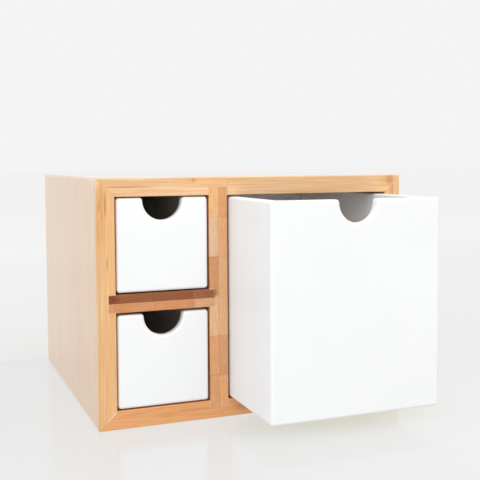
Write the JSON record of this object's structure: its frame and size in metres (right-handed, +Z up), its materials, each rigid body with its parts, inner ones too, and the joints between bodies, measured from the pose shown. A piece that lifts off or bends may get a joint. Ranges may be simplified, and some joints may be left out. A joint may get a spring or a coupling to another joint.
{
  "type": "desk organizer",
  "caption": "Bamboo desk cabinet with mitred corners, an upright divider and a dark-topped shelf, holding small white drawers beside a tall white drawer, each with a finger notch.",
  "frame": {"origin": "centre of the cabinet's footprint on the surface that it stands on, which is the middle of the bottom panel's underside", "axes": "+Z up, -Y out of the front, where the drawers pull out, +X to the right seen from the front"},
  "size_m": [0.245, 0.3245, 0.18],
  "materials": {
    "bamboo_natural": "natural bamboo strips, clear satin varnish",
    "bamboo_side": "pale natural bamboo strips, clear satin varnish",
    "bamboo_end_grain": "bamboo end grain blocks, clear satin varnish",
    "bamboo_carbonised": "dark carbonised bamboo, clear satin varnish",
    "bamboo_spline": "bare bamboo",
    "back_ply": "thin bamboo ply, clear satin varnish",
    "white_paint": "satin white paint on fibreboard",
    "white_board": "white painted thin fibreboard",
    "dowel_beech": "bare beech dowel"
  },
  "bodies": {
    "cabinet": {"top_panel": "bamboo_natural", "bottom_panel": "bamboo_natural", "left_side_panel": "bamboo_side", "right_side_panel": "bamboo_side", "back_panel": "back_ply", "divider": "bamboo_end_grain", "shelf_upper_layer": "bamboo_carbonised", "shelf_lower_layer": "bamboo_end_grain", "lower_left_mitre_spline": "bamboo_spline", "lower_right_mitre_spline": "bamboo_spline", "upper_left_mitre_spline": "bamboo_spline", "upper_right_mitre_spline": "bamboo_spline"},
    "upper_drawer": {"upper_drawer_front": "white_paint", "upper_drawer_left_side": "white_paint", "upper_drawer_right_side": "white_paint", "upper_drawer_rear": "white_paint", "upper_drawer_bottom": "white_board", "upper_drawer_left_lower_dowel": "dowel_beech", "upper_drawer_left_upper_dowel": "dowel_beech", "upper_drawer_right_lower_dowel": "dowel_beech", "upper_drawer_right_upper_dowel": "dowel_beech"},
    "lower_drawer": {"lower_drawer_front": "white_paint", "lower_drawer_left_side": "white_paint", "lower_drawer_right_side": "white_paint", "lower_drawer_rear": "white_paint", "lower_drawer_bottom": "white_board", "lower_drawer_left_lower_dowel": "dowel_beech", "lower_drawer_left_upper_dowel": "dowel_beech", "lower_drawer_right_lower_dowel": "dowel_beech", "lower_drawer_right_upper_dowel": "dowel_beech"},
    "large_drawer": {"large_drawer_front": "white_paint", "large_drawer_left_side": "white_paint", "large_drawer_right_side": "white_paint", "large_drawer_rear": "white_paint", "large_drawer_bottom": "white_board", "large_drawer_left_lower_dowel": "dowel_beech", "large_drawer_left_upper_dowel": "dowel_beech", "large_drawer_right_lower_dowel": "dowel_beech", "large_drawer_right_upper_dowel": "dowel_beech"}
  },
  "joints": [
    {"name": "upper_drawer_slide", "type": "slide", "parent": "cabinet", "child": "upper_drawer", "axis": [0, -1, 0], "range_m": [0, 0.19]},
    {"name": "lower_drawer_slide", "type": "slide", "parent": "cabinet", "child": "lower_drawer", "axis": [0, -1, 0], "range_m": [0, 0.19]},
    {"name": "large_drawer_slide", "type": "slide", "parent": "cabinet", "child": "large_drawer", "axis": [0, -1, 0], "range_m": [-0.08, 0.11]}
  ]
}
